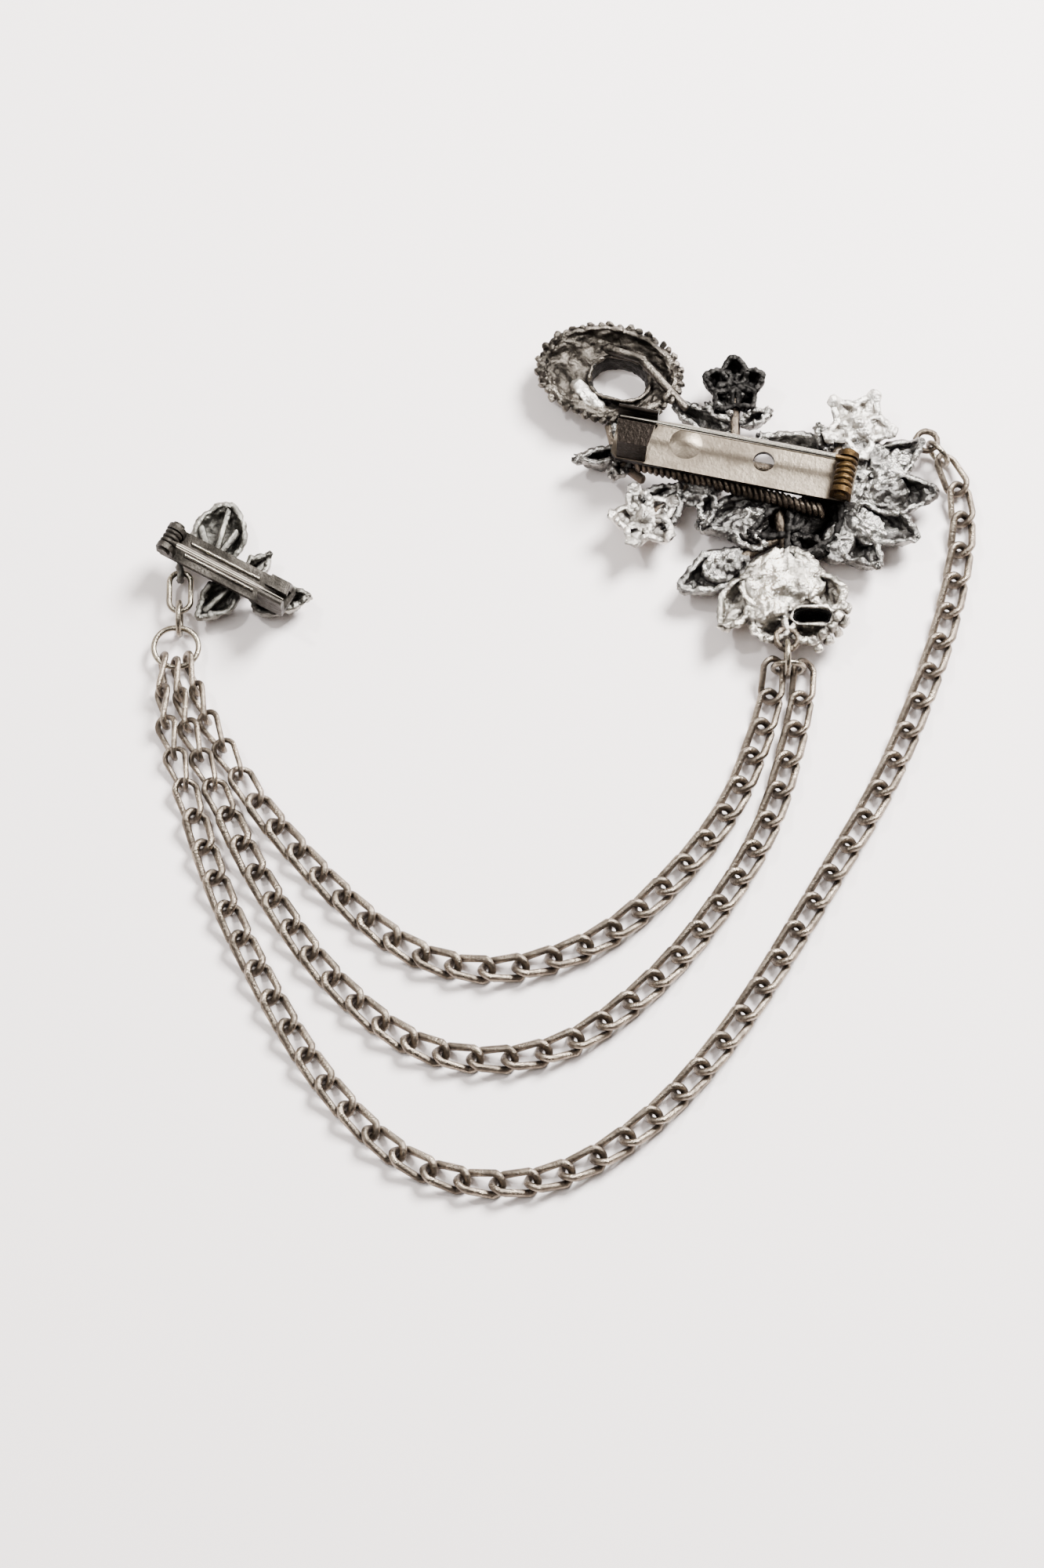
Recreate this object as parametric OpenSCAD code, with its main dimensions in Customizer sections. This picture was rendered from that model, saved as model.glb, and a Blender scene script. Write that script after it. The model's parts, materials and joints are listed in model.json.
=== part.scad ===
// Lapel chain, lying face down: a large floral brooch and a small one joined by three curb chain strands.
// The origin is on the table under the middle of the whole piece, +X to the large brooch, +Z up.

/* [Chain links] */
// Width of a link over its wire
link_w = 3.9; // [3.7:0.1:4]
// Thickness of the link wire
link_wire = 0.85; // [0.7:0.05:0.9]
// Longest spacing from one link to the next
link_pitch = 4.75; // [4.65:0.05:4.8]
// Play along the run between two links
link_play = 0.5; // [0.45:0.05:0.6]
// How far the wire rises and dips round a link
link_twist = 0.7; // [0.65:0.05:0.75]
// Sides round a link
link_sides = 10; // [10:2:16]
// Sides of the link wire
wire_sides = 5; // [5:1:6]

/* [Jump rings] */
// Thickness of the wire of the jump rings
ring_wire = 0.8; // [0.6:0.05:0.85]
// Outer width of the ring at the large brooch's side eyelet
outer_ring_d = 4.6; // [4.4:0.1:4.8]
// Outer width of the ring at the large brooch's lower eyelet
lower_ring_d = 5.2; // [5:0.1:5.4]
// Outer width of the upright ring that two strands hang on
spreader_ring_d = 5; // [4.9:0.1:5.2]
// Outer width of the upright ring by the small brooch
small_ring_d = 5.3; // [5.2:0.1:5.4]
// Length of the oval link at the small brooch's eyelet
oval_link_l = 6.6; // [6.4:0.1:6.8]
// Width of the oval link at the small brooch's eyelet
oval_link_w = 3.8; // [3.5:0.1:4.2]
// Length of the oval ring that gathers the three strands
gather_l = 6.6; // [6.5:0.1:6.8]
// Width of the oval ring that gathers the three strands
gather_w = 7; // [6.9:0.1:7.3]

/* [Large pin back] */
// Length of the large plate
big_bar_l = 34; // [32:0.5:36]
// Width of the large plate
big_bar_w = 6.6; // [6.4:0.1:7.2]
// Height of the large plate's underside over the table
big_bar_z = 6.6; // [6.6:0.1:7.5]
// Thickness of the large pin's wire
big_stem_d = 0.9; // [0.8:0.05:0.95]
// Length of the ground point of the large pin
big_point_l = 9; // [8:0.5:11]
// Diameter of the hole in the large plate
hole_d = 3; // [2:0.1:3.6]
// Width of the solder blob on the large plate
blob_d = 4.6; // [3.5:0.1:5.4]

/* [Small pin back] */
// Length of the small plate
small_bar_l = 20; // [19:0.5:21]
// Width of the small plate
small_bar_w = 4.4; // [4.2:0.1:4.8]
// Height of the small plate's underside over the table
small_bar_z = 4.8; // [4.8:0.1:5.6]
// Thickness of the small pin's wire
small_stem_d = 0.7; // [0.6:0.05:0.75]
// Length of the ground point of the small pin
small_point_l = 6.5; // [6:0.5:7.5]

/* [Both pin backs] */
// Thickness of the sheet of the plates
plate_t = 0.8; // [0.7:0.05:0.9]
// Diameter of the hinge rivets
rivet_d = 1.1; // [1:0.05:1.2]
// Radial clearance of the coil on its rivet
hinge_fit = 0.05; // [0.03:0.01:0.08]
// Gap under the coil
coil_gap = 0.15; // [0.1:0.05:0.3]
// Length of the catch along the pin, as a share of the plate's width
catch_share = 0.85; // [0.7:0.05:0.95]

/* [Castings] */
// Wall of the cast petals and leaves
wall = 1; // [0.8:0.1:1.2]
// Thickness of the cast stems
stalk_d = 2.4; // [2:0.1:2.6]
// Height of the large brooch's petal rims
big_rim_z = 5; // [4.8:0.1:5.4]
// Height of the small brooch's petal rims
small_rim_z = 3.6; // [3.4:0.1:4]
// Reach of the dark flower's petals
dark_petal_l = 4.8; // [4.2:0.1:5.2]
// Reach of the star flower's petals
star_petal_l = 5.8; // [5.4:0.1:6.2]
// Reach of the lower flower's petals
lower_petal_l = 5.2; // [4.8:0.1:5.6]
// Reach of the rose's outer petals
rose_r = 8.2; // [7.8:0.1:8.6]
// Half length of the looped leaf
loop_l = 10.2; // [9.8:0.1:10.6]
// Half width of the looped leaf
loop_w = 7.4; // [7:0.1:7.8]
// Length of the longest leaf of the large brooch
leaf_l = 12; // [11:0.2:12.6]
// Length of the small brooch's fan petal
fan_l = 9.6; // [9:0.2:10.4]
// Wire of the cast chain eyelets
eyelet_wire = 0.9; // [0.8:0.05:1]

/* [Hidden] */

// Routes of the strands from the large brooch to the small one: x, y and the lift over lying flat
outer_route = [
    [53.6, 43.3, 0.9], [55.9, 38.2, 0.1], [55.9, 31.5, 0], [54.8, 25, 0], [52.6, 16.5, 0], [49.6, 8, 0],
    [46, -1, 0], [42, -9, 0], [37.3, -17, 0], [32.3, -25.5, 0], [27.5, -33.5, 0], [22.5, -41, 0],
    [16, -49, 0], [9, -55.4, 0], [1.5, -60, 0], [-6, -62, 0], [-14, -61.5, 0], [-21, -58.6, 0],
    [-27, -53.6, 0], [-32.5, -47, 0], [-37, -40, 0], [-41.3, -32, 0], [-45.2, -24, 0], [-48.3, -16, 0],
    [-50.8, -8, 0], [-53.2, -1, 0], [-54.9, 6, 0], [-55, 13.15, 0]
];
middle_route = [
    [33.45, 12.1, 0.6], [33, 7.1, 0], [31.4, 0, 0], [28.8, -9, 0], [25, -17, 0], [19.6, -25.2, 0],
    [14, -32, 0], [8, -37.6, 0], [1, -42.4, 0], [-7, -44.6, 0], [-14.5, -44.3, 0], [-20.5, -42.2, 0],
    [-26, -38.3, 0], [-32.3, -32, 0], [-37.7, -24.5, 0], [-42.2, -17, 0], [-46, -9, 0], [-49.2, -2.2, 0],
    [-51.9, 4.5, 0], [-53.3, 12.4, 0]
];
inner_route = [
    [29.2, 12.15, 1.3], [28.7, 7.1, 0.1], [27.2, 2, 0], [24.2, -6, 0], [20, -13, 0], [14, -20, 0],
    [7.5, -26, 0], [0, -30, 0], [-9, -32, 0], [-17, -30.8, 0], [-23.5, -27.3, 0], [-30, -21.5, 0],
    [-36, -15, 0], [-41.3, -8.4, 0], [-45.6, -1.5, 0], [-49.2, 5.2, 0], [-51.6, 13.15, 0]
];
// Links from the gathering ring on: roll from on edge to lying flat, and share of the full twist
gather_turns = [[-90, 0.57], [-78, 0.71], [-58, 0.86], [-34, 0.93], [-14, 1]];
// Sides of the plain rings that are made like links
plain_sides = 14;

// Places of the rings and eyelets: centre, then the direction of the ring's plane
side_eyelet = [51.2, 45.7, 3];
side_heading = -48;
lower_eyelet = [31, 15, 4.6];
small_eyelet = [-52.9, 26.3, 2.6];
gather_at = [-53.3, 14.85, 2];
eyelet_r = 1.5;
ring_gap = 0.12;
// Distance between the wires of two rings that hang in each other
hang = ring_wire / 2 + eyelet_wire / 2 + ring_gap;
// The ring at the side eyelet hangs lower than it and closer to its middle
side_drop = 0.4;
side_closer = 0.07;
// The oval link hangs closer to the middle of its eyelet
oval_closer = 0.05;
// Place of the upright ring that two strands hang on, from the lower eyelet's middle
spreader_from = [0.2, -3.4];
outer_ring_r = (outer_ring_d - ring_wire) / 2;
lower_ring_r = (lower_ring_d - ring_wire) / 2;
spreader_r = (spreader_ring_d - ring_wire) / 2;
small_ring_r = (small_ring_d - ring_wire) / 2;

// Places of the pin backs: centre and the direction from catch to hinge
big_bar_at = [24, 41];
big_bar_turn = -12;
small_bar_at = [-46.3, 25];
small_bar_turn = 151;
// Side gap of the coil between its ears
side_gap = 0.1;
// Clearance of the rivet in the ears
ear_fit = 0.03;
// Length of the tapered root of the pin's arm beyond the hinge ears
root_gap = 0.2;
// Free width beside the pin in its catch, and free height over it
catch_free = 0.3;
catch_over = 0.2;
// Radius of the pin's needle tip, and its distance from the plate's end
tip_r = 0.1;
tip_from_edge = 0.4;

// Middle of the whole piece in the figures of the lists, moved over the origin
whole_middle = [0.57, -0.41, 0];

module placed() {
    translate(-whole_middle) children();
}

function unit(v) = v / norm(v);

// Point of a smooth curve at share t between b and c, with a before them and d after them
function curve_point(a, b, c, d, t) =
    0.5 * (2 * b + (c - a) * t + (2 * a - 5 * b + 4 * c - d) * t * t + (3 * b - a - 3 * c + d) * t * t * t);

function fine_route(route, steps = 8) =
    let (last = len(route) - 1)
    [
        for (i = [0 : last - 1])
            for (k = [0 : steps - 1])
                curve_point(
                    route[max(i - 1, 0)], route[i], route[i + 1], route[min(i + 2, last)], k / steps
                ),
        route[last]
    ];

// Distance run along the points up to each of them
function run_lengths(p) =
    [for (i = 0, s = 0; i < len(p); s = s + (i + 1 < len(p) ? norm(p[i + 1] - p[i]) : 0), i = i + 1) s];

function point_at(p, runs, s) =
    [for (axis = [0 : 2]) lookup(s, [for (i = [0 : len(p) - 1]) [runs[i], p[i][axis]]])];

// Centre line of a link in its own plane, along X, at the angle a
function link_line(l, w, twist, a) = [l / 2 * cos(a), w / 2 * sin(a), twist * sin(2 * a)];

// Half the height of a link that lies rolled on the table
function lying(w, twist, wire, roll) =
    wire / 2 + max([for (a = [0 : 6 : 354])
        let (p = link_line(1, w, twist, a)) p[1] * sin(roll) + p[2] * cos(roll)]);

// Points round a link: its centre line in the frame of t, s and u, with the wire's section round it
function link_points(c, t, s, u, l, w, twist, wire, sides, wire_n) = [
    for (i = [0 : sides - 1])
        let (
            a = 360 * i / sides,
            p = link_line(l, w, twist, a),
            run = unit([-l / 2 * sin(a), w / 2 * cos(a), 2 * twist * cos(2 * a)]),
            side = unit(cross(run, [0, 0, 1])),
            top = cross(side, run)
        )
        for (k = [0 : wire_n - 1])
            let (q = p + wire / 2 * (cos(360 * k / wire_n) * side + sin(360 * k / wire_n) * top))
            c + q[0] * t + q[1] * s + q[2] * u
];

function link_faces(first, sides, wire_n) = [
    for (i = [0 : sides - 1])
        for (k = [0 : wire_n - 1])
            let (
                a = first + i * wire_n + k,
                b = first + ((i + 1) % sides) * wire_n + k,
                c = first + ((i + 1) % sides) * wire_n + (k + 1) % wire_n,
                d = first + i * wire_n + (k + 1) % wire_n
            )
            each [[a, c, b], [a, d, c]]
];

// One strand of interlocking curb links along its route
module strand(route) {
    p = fine_route(route);
    runs = run_lengths(p);
    total = runs[len(runs) - 1];
    count = ceil(total / link_pitch);
    step = total / count;
    per_link = link_sides * wire_sides;
    line_l = link_pitch + link_wire + link_play;
    line_w = link_w - link_wire;
    links = [
        for (i = [0 : count - 1])
            let (
                from = point_at(p, runs, i * step),
                to = point_at(p, runs, (i + 1) * step),
                turned = count - 1 - i < len(gather_turns) ? gather_turns[count - 1 - i] : [0, 1],
                roll = turned[0],
                twist = turned[1] * link_twist,
                t = unit(to - from),
                flat = unit(cross([0, 0, 1], t)),
                up = cross(t, flat),
                s = cos(roll) * flat + sin(roll) * up,
                u = cos(roll) * up - sin(roll) * flat,
                mid = (from + to) / 2,
                c = [mid[0], mid[1], max(mid[2], 0) + lying(line_w, twist, link_wire, roll)]
            )
            link_points(c, t, s, u, line_l, line_w, twist, link_wire, link_sides, wire_sides)
    ];
    polyhedron(
        points = [for (one = links) each one],
        faces = [for (i = [0 : count - 1]) each link_faces(i * per_link, link_sides, wire_sides)]
    );
}

// A plain oval ring that lies along Y
module oval_ring(at, l, w, wire) {
    polyhedron(
        points = link_points(at, [0, 1, 0], [-1, 0, 0], [0, 0, 1], l - wire, w - wire, 0, wire, plain_sides, 6),
        faces = link_faces(0, plain_sides, 6)
    );
}

module round_ring(r, wire) {
    rotate_extrude($fn = 48)
        translate([r, 0])
            circle(d = wire, $fn = 24);
}

module chain_outer() {
    color("gray") placed() strand(outer_route);
}

module chain_middle() {
    color("gray") placed() strand(middle_route);
}

module chain_inner() {
    color("gray") placed() strand(inner_route);
}

module outer_ring() {
    reach = eyelet_r - hang + sqrt(outer_ring_r * outer_ring_r - side_drop * side_drop) - side_closer;
    color("gray")
        placed() translate(side_eyelet + [reach * cos(side_heading), reach * sin(side_heading), -side_drop])
            rotate([90, 0, side_heading])
                round_ring(outer_ring_r, ring_wire);
}

module lower_ring() {
    color("gray")
        placed() translate(lower_eyelet - [0, eyelet_r - hang + lower_ring_r, 0])
            rotate([90, 0, 90])
                round_ring(lower_ring_r, ring_wire);
}

module spreader_ring() {
    color("gray")
        placed() translate([
            lower_eyelet[0] + spreader_from[0], lower_eyelet[1] + spreader_from[1], spreader_ring_d / 2
        ])
            rotate([90, 0, 0])
                round_ring(spreader_r, ring_wire);
}

module oval_link() {
    color("gray")
        placed() oval_ring(
            small_eyelet - [0, eyelet_r - hang + (oval_link_l - ring_wire) / 2 - oval_closer, 0],
            oval_link_l, oval_link_w, ring_wire
        );
}

// The upright ring hangs between the low end of the oval link and the top end of the gathering ring
module small_ring() {
    oval_low = small_eyelet[1] - (eyelet_r - hang) - (oval_link_l - ring_wire);
    gather_top = gather_at[1] + (gather_l - ring_wire) / 2;
    color("gray")
        placed() translate([small_eyelet[0], (oval_low + gather_top) / 2, small_ring_d / 2])
            rotate([90, 0, 90])
                round_ring(small_ring_r, ring_wire);
}

module gather_ring() {
    color("gray") placed() oval_ring(gather_at, gather_l, gather_w, ring_wire);
}

// Pin backs: lengths run along X from the catch to the hinge, heights from the underside of the plate
function coil_r(stem_d) = rivet_d / 2 + hinge_fit + stem_d;
function axis_z(stem_d) = plate_t + coil_gap + coil_r(stem_d);
function pin_z(stem_d) = axis_z(stem_d) + coil_r(stem_d) - stem_d / 2;
function turns(w, stem_d) = floor((w - 2 * plate_t - 2 * side_gap) / stem_d);
function hinge_x(l, stem_d) = l / 2 - coil_r(stem_d);
function coil_y(w) = w / 2 - plate_t - side_gap;
function far_ear_y(w, stem_d) = coil_y(w) - turns(w, stem_d) * stem_d - side_gap - plate_t / 2;
function pin_y(w, stem_d) = coil_y(w) - stem_d / 2;

module ear(stem_d) {
    r = coil_r(stem_d);
    h = axis_z(stem_d);
    rotate([90, 0, 0])
        linear_extrude(height = plate_t, center = true)
            difference() {
                union() {
                    translate([-r, plate_t / 2])
                        square([2 * r, h - plate_t / 2]);
                    translate([0, h])
                        circle(r = r, $fn = 48);
                }
                translate([0, h])
                    circle(r = rivet_d / 2 + ear_fit, $fn = 32);
            }
}

// The catch: a folded tongue and a turned-up lip with the slot between them that the point snaps into
module catch_tongue(l, w, stem_d) {
    catch_l = catch_share * w;
    slot_y = pin_y(w, stem_d) - stem_d / 2 - catch_free;
    roof = pin_z(stem_d) + stem_d / 2 + catch_over;
    lean = 0.16 * w;
    intersection() {
        translate([-l / 2, 0, 0])
            rotate([90, 0, 90])
                linear_extrude(height = catch_l)
                    polygon([
                        [-w / 2, 0], [-w / 2 + lean, roof], [slot_y, roof], [slot_y, roof - plate_t],
                        [-w / 2 + lean + plate_t, roof - plate_t], [-w / 2 + plate_t, 0]
                    ]);
        linear_extrude(height = 2 * roof)
            polygon([
                [-l / 2, slot_y + 1], [-l / 2 + catch_l, slot_y + 1],
                [-l / 2 + 0.85 * catch_l, -w / 2 - 1], [-l / 2 + 0.2 * catch_l, -w / 2 - 1]
            ]);
    }
}

module catch_lip(l, w, stem_d) {
    top = pin_z(stem_d) + stem_d;
    translate([-l / 2, w / 2, 0])
        rotate([90, 0, 90])
            linear_extrude(height = catch_share * w) {
                translate([-plate_t, 0])
                    square([plate_t, top]);
                translate([-plate_t / 2, top])
                    circle(d = plate_t, $fn = 24);
            }
}

module plate(l, w) {
    cut = 0.12 * w;
    linear_extrude(height = plate_t)
        polygon([
            [-l / 2, -w / 2 + cut], [-l / 2, w / 2], [l / 2 - cut, w / 2], [l / 2, w / 2 - cut],
            [l / 2, -w / 2 + cut], [l / 2 - cut, -w / 2], [-l / 2 + cut, -w / 2]
        ]);
}

module pin_plate(l, w, stem_d) {
    plate(l, w);
    catch_tongue(l, w, stem_d);
    catch_lip(l, w, stem_d);
    for (y = [w / 2 - plate_t / 2, far_ear_y(w, stem_d)])
        translate([hinge_x(l, stem_d), y, 0])
            ear(stem_d);
}

module pin_rivet(l, w, stem_d) {
    from = w / 2 + ear_fit;
    to = far_ear_y(w, stem_d) - plate_t / 2 - ear_fit;
    head = 0.5 * plate_t;
    translate([hinge_x(l, stem_d), from + head, axis_z(stem_d)])
        rotate([90, 0, 0]) {
            cylinder(d = rivet_d, h = from - to + 2 * head, $fn = 32);
            for (z = [0, from - to + head])
                translate([0, 0, z])
                    cylinder(d = 1.6 * rivet_d, h = head, $fn = 32);
        }
}

// The pin: spring wire in close turns round the rivet, a straight arm that leaves the top of the last turn with a
// slightly tapered root, and the point
module pin_stem(l, w, stem_d, point_l) {
    inner = rivet_d / 2 + hinge_fit;
    n = turns(w, stem_d);
    root_x = hinge_x(l, stem_d);
    arm_x = root_x - coil_r(stem_d) - root_gap;
    point_x = -l / 2 + tip_from_edge + point_l;
    translate([root_x, coil_y(w), axis_z(stem_d)])
        rotate([90, 0, 0])
            rotate_extrude($fn = 64) {
                translate([inner, 0])
                    square([0.65 * stem_d, n * stem_d]);
                for (i = [0 : n - 1])
                    translate([inner + stem_d / 2, (i + 0.5) * stem_d])
                        circle(d = 0.9 * stem_d, $fn = 48);
            }
    translate([0, pin_y(w, stem_d), pin_z(stem_d)])
        rotate([0, 90, 0]) {
            translate([0, 0, arm_x - 0.1])
                cylinder(d1 = 0.97 * stem_d, d2 = 0.8 * stem_d, h = root_x - arm_x + 0.1, $fn = 32);
            translate([0, 0, point_x])
                cylinder(d = stem_d, h = arm_x - point_x, $fn = 32);
            translate([0, 0, point_x - point_l])
                cylinder(r1 = tip_r, r2 = stem_d / 2, h = point_l, $fn = 32);
        }
}

module big_place() {
    placed() translate([big_bar_at[0], big_bar_at[1], big_bar_z])
        rotate([0, 0, big_bar_turn])
            children();
}

module small_place() {
    placed() translate([small_bar_at[0], small_bar_at[1], small_bar_z])
        rotate([0, 0, small_bar_turn])
            children();
}

// Places of the hole and of the solder blob on the large plate, from its middle
hole_at = [4.1, 0.4];
blob_at = [-7, 0.8];

module solder_blob() {
    rise = 0.1 * blob_d;
    r = (pow(blob_d / 2, 2) + rise * rise) / (2 * rise);
    translate([blob_at[0], blob_at[1], 0])
        intersection() {
            translate([0, 0, plate_t + rise - r])
                sphere(r = r, $fn = 64);
            translate([0, 0, plate_t / 2])
                cylinder(d = 2 * blob_d, h = blob_d, $fn = 32);
        }
}

module big_bar() {
    color("darkgray")
        big_place() {
            difference() {
                pin_plate(big_bar_l, big_bar_w, big_stem_d);
                translate([hole_at[0], hole_at[1], -1])
                    cylinder(d = hole_d, h = plate_t + 2, $fn = 48);
            }
            solder_blob();
        }
}

module big_rivet() {
    color("dimgray") big_place() pin_rivet(big_bar_l, big_bar_w, big_stem_d);
}

module big_stem() {
    color("silver") big_place() pin_stem(big_bar_l, big_bar_w, big_stem_d, big_point_l);
}

module small_bar() {
    color("darkgray") small_place() pin_plate(small_bar_l, small_bar_w, small_stem_d);
}

module small_rivet() {
    color("dimgray") small_place() pin_rivet(small_bar_l, small_bar_w, small_stem_d);
}

module small_stem() {
    color("silver") small_place() pin_stem(small_bar_l, small_bar_w, small_stem_d, small_point_l);
}

// Castings. Width of a petal at share u of its length, with its widest place at the share wide
function petal_share(u, wide) =
    let (k = ln(0.5) / ln(0.04 + 0.92 * wide))
    pow(sin(180 * pow(0.04 + 0.92 * u, k)), 0.8);

// A cupped petal or leaf along X, hollow side up, its rim at height 0
module petal(l, w, depth, wide) {
    rows = 3;
    cols = 2;
    n = (rows + 1) * (cols + 1);
    top = [
        for (i = [0 : rows])
            for (j = [0 : cols])
                let (
                    share = petal_share(i / rows, wide),
                    v = 2 * j / cols - 1
                )
                [l * i / rows, v * w / 2 * share, -depth * share * (1 - v * v)]
    ];
    at = function (i, j) i * (cols + 1) + j;
    rim = concat(
        [for (i = [0 : rows - 1]) [at(i, 0), at(i + 1, 0)]],
        [for (j = [0 : cols - 1]) [at(rows, j), at(rows, j + 1)]],
        [for (i = [0 : rows - 1]) [at(i + 1, cols), at(i, cols)]],
        [for (j = [0 : cols - 1]) [at(0, j + 1), at(0, j)]]
    );
    cells = [
        for (i = [0 : rows - 1])
            for (j = [0 : cols - 1])
                [at(i, j), at(i, j + 1), at(i + 1, j + 1), at(i + 1, j)]
    ];
    polyhedron(
        points = concat(top, [for (p = top) p - [0, 0, wall]]),
        faces = concat(
            [for (c = cells) each [[c[0], c[1], c[2]], [c[0], c[2], c[3]]]],
            [for (c = cells) each [[c[2] + n, c[1] + n, c[0] + n], [c[3] + n, c[2] + n, c[0] + n]]],
            [for (e = rim) each [[e[0] + n, e[0], e[1]], [e[0] + n, e[1], e[1] + n]]]
        )
    );
}

// How far a bloom with so many petals reaches in the direction a, as a share
function bloom_share(petals, a) = 0.66 + 0.34 * pow(abs(cos(petals / 2 * a)), 0.7);

// An open flower in one piece round its hub: shape lists reach and height from the hub's top over the rim to the
// underside, reach as a share and height in the same unit as depth
module bloom(at, z, reach, petals, first, shape) {
    n = 4 * petals;
    m = len(shape) - 2;
    rings = [
        for (i = [0 : n - 1])
            for (k = [1 : m])
                let (
                    a = 360 * i / n,
                    r = reach * shape[k][0] * (shape[k][0] < 0.5 ? 1 : bloom_share(petals, a))
                )
                [r * cos(a), r * sin(a), shape[k][1]]
    ];
    ends = [[0, 0, shape[0][1]], [0, 0, shape[m + 1][1]]];
    next = function (i) (i + 1) % n * m;
    translate([at[0], at[1], z])
        rotate(first)
            polyhedron(
                points = concat(rings, ends),
                faces = [
                    for (i = [0 : n - 1])
                        each concat(
                            [
                                for (k = [0 : m - 2])
                                    each [
                                        [i * m + k, next(i) + k, next(i) + k + 1],
                                        [i * m + k, next(i) + k + 1, i * m + k + 1]
                                    ]
                            ],
                            [[n * m, next(i), i * m], [n * m + 1, i * m + m - 1, next(i) + m - 1]]
                        )
                ]
            );
}

// A small flower: raised hub, cupped petals
module flower(at, z, reach, depth, first) {
    bloom(at, z, reach, 5, first, [
        [0, -0.15 * depth], [0.26, -0.35 * depth], [0.62, -depth], [1, 0], [1, -wall], [0.62, -depth - wall],
        [0, -depth - wall]
    ]);
}

module stalk(a, b, z, d) {
    hull()
        for (p = [a, b])
            translate([p[0], p[1], z])
                sphere(d = d, $fn = 6);
}

// An eyelet turned to stand or lie
module eyelet(at, tilt) {
    translate(at)
        rotate(tilt)
            rotate_extrude($fn = 12)
                translate([eyelet_r, 0])
                    circle(d = eyelet_wire, $fn = 5);
}

// Places of the flowers and of the looped leaf on the large brooch
dark_at = [24.4, 53.6];
star_at = [41.6, 47.5];
lower_at = [11.5, 33.3];
rose_at = [31.8, 21];
loop_at = [6.8, 55.6];
loop_turn = -10;

// Looped leaf: a cupped band with a scalloped outer edge round an open window
module looped_leaf(depth) {
    n = 24;
    window = 0.43;
    points = [
        for (i = [0 : n - 1])
            let (
                a = 360 * i / n,
                edge = i % 2 == 0 ? 1.02 : 0.95,
                outer = [edge * loop_l * cos(a), edge * loop_w * sin(a)],
                inner = [loop_l * (0.15 + window * cos(a)), window * loop_w * sin(a)],
                mid = (outer + inner) / 2
            )
            each [
                [outer[0], outer[1], 0], [mid[0], mid[1], -depth], [inner[0], inner[1], -0.3 * depth],
                [mid[0], mid[1], -depth - wall], [outer[0], outer[1], -wall]
            ]
    ];
    translate([loop_at[0], loop_at[1], big_rim_z])
        rotate(loop_turn)
            polyhedron(points = points, faces = link_faces(0, n, 5));
}

// The rose: two rings of petals round a raised hub, a beaded edge and an oval opening
module rose(depth) {
    bead_d = 0.22 * rose_r;
    difference() {
        union() {
            bloom(rose_at, big_rim_z, rose_r, 5, 11, [
                [0, -0.1 * depth], [0.2, -0.15 * depth], [0.34, -0.7 * depth], [0.52, -0.1 * depth],
                [0.72, -0.75 * depth], [1, 0], [1, -wall], [0.72, -depth - wall], [0, -depth - wall]
            ]);
            for (a = [-63 : 13 : -4])
                translate([
                    rose_at[0] + 0.95 * rose_r * cos(a), rose_at[1] + 0.95 * rose_r * sin(a),
                    big_rim_z - bead_d / 3
                ])
                    sphere(d = bead_d, $fn = 6);
        }
        translate([rose_at[0] + 0.33 * rose_r, rose_at[1] - 0.32 * rose_r, 0])
            scale([1, 0.5, 1])
                cylinder(r = 0.37 * rose_r, h = 4 * big_rim_z, center = true, $fn = 12);
    }
}

// Leaves of the large brooch: x, y, direction, then length and width as shares of leaf_l
big_leaves = [
    [41, 38.6, 35, 1, 0.54], [41.5, 36.6, 5, 0.95, 0.56], [40.5, 35, -26, 0.88, 0.56],
    [38, 33, -48, 0.8, 0.54], [29.5, 35.8, 199, 0.97, 0.54], [26, 28, 208, 0.95, 0.56],
    [27, 24.6, 239, 0.82, 0.5], [9.5, 43.8, 190, 0.68, 0.24], [24, 46, 148, 0.84, 0.36],
    [38.8, 43.2, 166, 1, 0.42], [38, 37, 237, 1, 0.66]
];
// Stems of the large brooch, under its plate and out to the flowers: x, y of both ends
big_stalks = [
    [[9, 44.2], [38.5, 38]], [[10.5, 41.2], [24.5, 37.6]], [[24.5, 37.6], [36, 34]],
    [[9, 44.2], [8.5, 49.6]], [[24.2, 37.8], [24.4, 52]], [[35, 39], [41.1, 46.6]],
    [[18, 39], [12.4, 34]], [[30, 36], [31.6, 25.5]], [[30.8, 31], [25, 27.6]]
];

// Depth that brings a petal from its rim down to the table
big_depth = big_rim_z - wall;
small_depth = small_rim_z - wall;
// Height of the stems' middle, just under the plate that they carry
seat_gap = 0.1;
// Each stem crosses the one before it a little lower
stalk_step = 0.07;
// Each leaf's rim lies a little lower than the one before it
leaf_step = 0.04;
big_stalk_z = big_bar_z - seat_gap - stalk_d / 2;
small_stalk_d = 0.85 * stalk_d;
small_stalk_z = small_bar_z - seat_gap - small_stalk_d / 2;

module big_spray() {
    color("lightgray") placed() {
        looped_leaf(0.75 * big_depth);
        flower(dark_at, big_rim_z, dark_petal_l, 0.6 * big_depth, 90);
        flower(star_at, big_rim_z, star_petal_l, 0.6 * big_depth, 60);
        flower(lower_at, big_rim_z, lower_petal_l, 0.8 * big_depth, 105);
        rose(big_depth);
        for (i = [0 : len(big_leaves) - 1])
            translate([big_leaves[i][0], big_leaves[i][1], big_rim_z - leaf_step * (i + 1)])
                rotate(big_leaves[i][2])
                    petal(big_leaves[i][3] * leaf_l, big_leaves[i][4] * leaf_l, 0.7 * big_depth, 0.5);
        for (i = [0 : len(big_stalks) - 1])
            stalk(big_stalks[i][0], big_stalks[i][1], big_stalk_z - stalk_step * i, stalk_d);
        eyelet(side_eyelet, [0, 0, 0]);
        eyelet(lower_eyelet, [0, 0, 0]);
    }
}

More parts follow.
